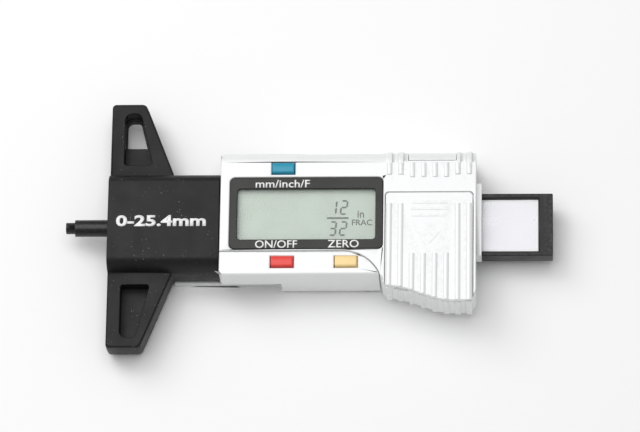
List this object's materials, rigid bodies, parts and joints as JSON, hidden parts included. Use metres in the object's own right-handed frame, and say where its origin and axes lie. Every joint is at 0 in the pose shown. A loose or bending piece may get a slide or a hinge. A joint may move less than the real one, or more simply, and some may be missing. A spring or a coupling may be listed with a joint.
{
  "type": "tyre tread depth gauge",
  "caption": "Digital tyre tread depth gauge: a T-shaped measuring foot with a sliding beam and probe, a display housing with three keys, a ribbed battery door and a thumb bulge.",
  "frame": {"origin": "centre of the probe on the plane of the measuring face", "axes": "+X along the beam towards its tail, +Y across the foot towards the side with the unit button and the data port, +Z out of the display"},
  "size_m": [0.1066, 0.057, 0.0128],
  "materials": {
    "foot_black": "moulded, fine grain",
    "shell_silver": "satin silver paint over plastic",
    "back_silver": "satin silver paint over plastic",
    "frame_dark": "printed, glossy",
    "window_clear": "clear, polished",
    "lcd_green": "grey-green display glass",
    "elastomer": "striped conductive rubber",
    "board_green": "solder mask",
    "chip_black": "potting compound",
    "pad_gold": "gold flashed",
    "key_teal": "moulded, satin",
    "key_red": "moulded, satin",
    "key_cream": "moulded, satin",
    "dome_grey": "silicone rubber",
    "cell_steel": "nickel plated",
    "contact_brass": "sprung sheet",
    "spring_bronze": "phosphor bronze",
    "screw_steel": "zinc plated",
    "beam_black": "moulded, fine grain",
    "scale_copper": "copper pattern under varnish",
    "label_grey": "printed film",
    "probe_black": "blackened steel"
  },
  "bodies": {
    "housing": {"foot": "foot_black", "front_shell": "shell_silver", "key_strip": "shell_silver", "back_shell": "back_silver", "window_frame": "frame_dark", "window_lens": "window_clear", "lcd_panel": "lcd_green", "zebra_strips": "elastomer", "main_board": "board_green", "pickup_board": "board_green", "board_chip": "chip_black", "key_pads": "pad_gold", "unit_dome": "dome_grey", "power_dome": "dome_grey", "zero_dome": "dome_grey", "button_cell": "cell_steel", "cell_contact_plus": "contact_brass", "cell_contact_minus": "contact_brass", "port_contacts": "pad_gold", "pressure_spring": "spring_bronze", "back_screws": "screw_steel", "foot_screws": "screw_steel", "board_screws": "screw_steel"},
    "beam": {"beam": "beam_black", "scale_strip": "scale_copper", "beam_label": "label_grey", "probe": "probe_black", "probe_pin": "screw_steel"},
    "unit_key": {"unit_button": "key_teal"},
    "power_key": {"power_button": "key_red"},
    "zero_key": {"zero_button": "key_cream"},
    "door": {"battery_door": "shell_silver"},
    "port_cap": {"port_cover": "shell_silver"}
  },
  "joints": [
    {"name": "beam_slide", "type": "slide", "parent": "housing", "child": "beam", "axis": [-1, 0, 0], "range_m": [-0.00953, 0.01588]},
    {"name": "unit_press", "type": "slide", "parent": "housing", "child": "unit_key", "axis": [0, 0, -1], "range_m": [0, 0.0004], "stiffness_N_per_m": 600, "deforming": ["unit_dome"]},
    {"name": "power_press", "type": "slide", "parent": "housing", "child": "power_key", "axis": [0, 0, -1], "range_m": [0, 0.0004], "stiffness_N_per_m": 600, "deforming": ["power_dome"]},
    {"name": "zero_press", "type": "slide", "parent": "housing", "child": "zero_key", "axis": [0, 0, -1], "range_m": [0, 0.0004], "stiffness_N_per_m": 600, "deforming": ["zero_dome"]},
    {"name": "door_slide", "type": "slide", "parent": "housing", "child": "door", "axis": [0, -1, 0], "range_m": [0, 0.022]},
    {"name": "port_cover_pull", "type": "slide", "parent": "housing", "child": "port_cap", "axis": [0, 1, 0], "range_m": [0, 0.004]}
  ]
}
